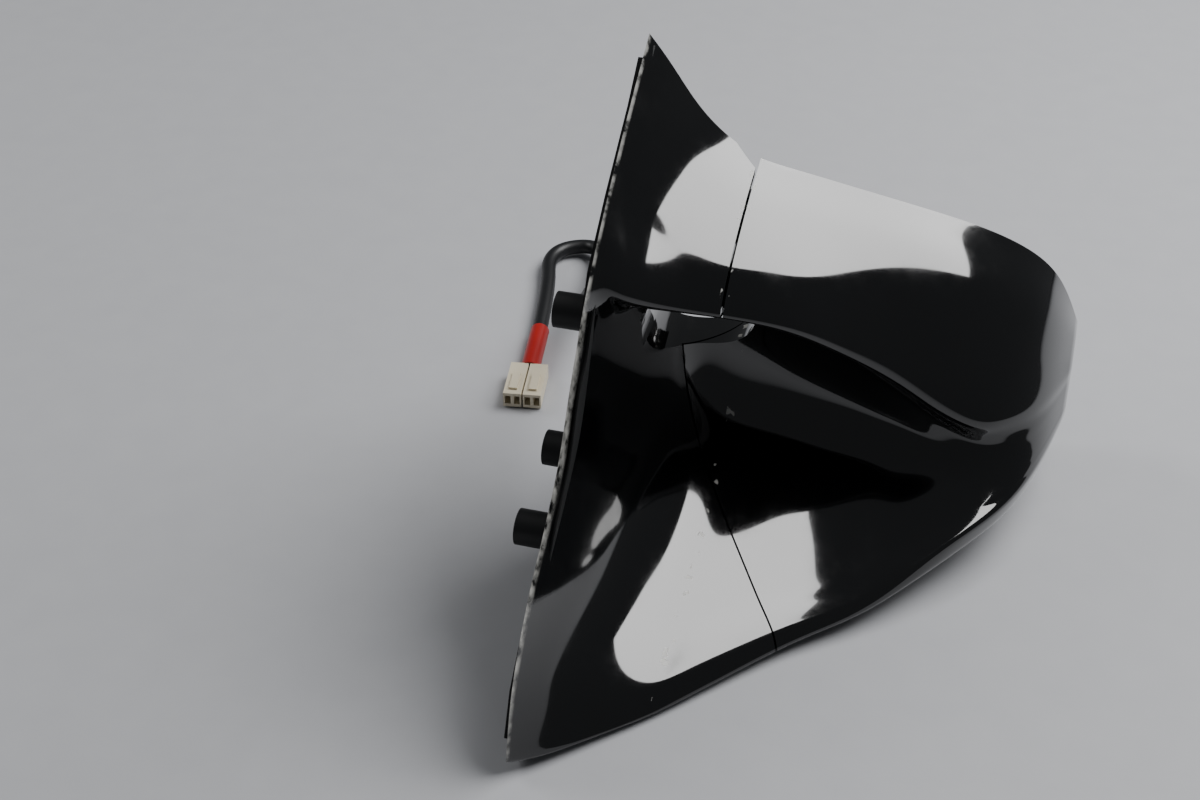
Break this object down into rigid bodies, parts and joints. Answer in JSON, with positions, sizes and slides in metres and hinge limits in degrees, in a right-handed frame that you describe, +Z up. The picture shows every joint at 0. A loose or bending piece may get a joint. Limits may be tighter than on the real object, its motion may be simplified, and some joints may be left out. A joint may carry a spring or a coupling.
{
  "type": "car door mirror",
  "caption": "Gloss black two-arm car door mirror: sail-shaped foot, scooped fold-back head with an air gap, powered tilting glass, threaded mounting bosses and a plugged harness.",
  "frame": {"origin": "on the mounting face of the base, midway along the foot and 75 mm above its flat underside", "axes": "+X outboard, away from the door; +Y rearward, the way the glass faces; +Z up"},
  "size_m": [0.2837, 0.3684, 0.2101],
  "materials": {
    "gloss_black_paint": "gloss black paint on moulded plastic",
    "black_moulding": "satin black moulded plastic",
    "boss_brass": "turned brass",
    "black_foam": "open cell foam strip",
    "zinc_screw": "zinc plated steel",
    "cast_alloy": "die cast, as cast",
    "hard_steel": "ground steel",
    "spring_steel": "phosphated spring steel",
    "bearing_plastic": "natural acetal",
    "black_rubber": "moulded rubber",
    "cable_jacket": "soft black cable jacket",
    "red_tape": "red wrapping tape",
    "cream_nylon": "natural nylon",
    "grey_moulding": "glass filled plastic",
    "motor_can": "drawn steel can",
    "glue_pad": "heater and adhesive pad",
    "mirror_face": "first surface mirror"
  },
  "bodies": {
    "base": {"base_shell": "gloss_black_paint", "base_plate": "black_moulding", "boss_inserts": "boss_brass", "base_gasket": "black_foam", "plate_screws": "zinc_screw", "bracket_screws": "zinc_screw", "hinge_bracket_upper": "cast_alloy", "hinge_bracket_lower": "cast_alloy", "fold_pins": "hard_steel", "pin_clips": "spring_steel", "harness_grommet": "black_rubber", "harness_cord": "cable_jacket", "harness_tape": "red_tape", "plug_left": "cream_nylon", "plug_right": "cream_nylon"},
    "head": {"head_shell": "gloss_black_paint", "head_frame": "grey_moulding", "hinge_bushes": "bearing_plastic", "frame_screws": "zinc_screw", "actuator_case": "grey_moulding", "actuator_lid": "grey_moulding", "drive_motors": "motor_can", "case_screws": "zinc_screw", "drive_wheel_vertical": "bearing_plastic", "drive_wheel_lateral": "bearing_plastic"},
    "spider": {"tilt_cross": "bearing_plastic"},
    "glass": {"glass_holder": "black_moulding", "glass_pad": "glue_pad", "mirror_glass": "mirror_face"},
    "vertical_jack": {"jack_screw_vertical": "bearing_plastic"},
    "lateral_jack": {"jack_screw_lateral": "bearing_plastic"}
  },
  "joints": [
    {"name": "fold", "type": "hinge", "parent": "base", "child": "head", "pos_m": [0.048, 0.103, 0], "axis": [0, 0, 1], "range_deg": [0, 55]},
    {"name": "tilt_vertical", "type": "hinge", "parent": "head", "child": "spider", "pos_m": [0.12127, 0.11921, -0.014], "axis": [0.9397, 0.342, 0], "range_deg": [-3.5, 3.5]},
    {"name": "tilt_lateral", "type": "hinge", "parent": "spider", "child": "glass", "pos_m": [0.12127, 0.11921, -0.014], "axis": [0, 0, 1], "range_deg": [-3.5, 3.5]},
    {"name": "vertical_jack_slide", "type": "slide", "parent": "head", "child": "vertical_jack", "axis": [0.342, -0.9397, 0], "range_m": [-0.0014, 0.0014]},
    {"name": "lateral_jack_slide", "type": "slide", "parent": "head", "child": "lateral_jack", "axis": [0.342, -0.9397, 0], "range_m": [-0.0014, 0.0014]}
  ],
  "couplings": [
    {"joint": "vertical_jack_slide", "follows": "tilt_vertical", "m_per_rad": 0.021},
    {"joint": "lateral_jack_slide", "follows": "tilt_lateral", "m_per_rad": 0.021}
  ]
}
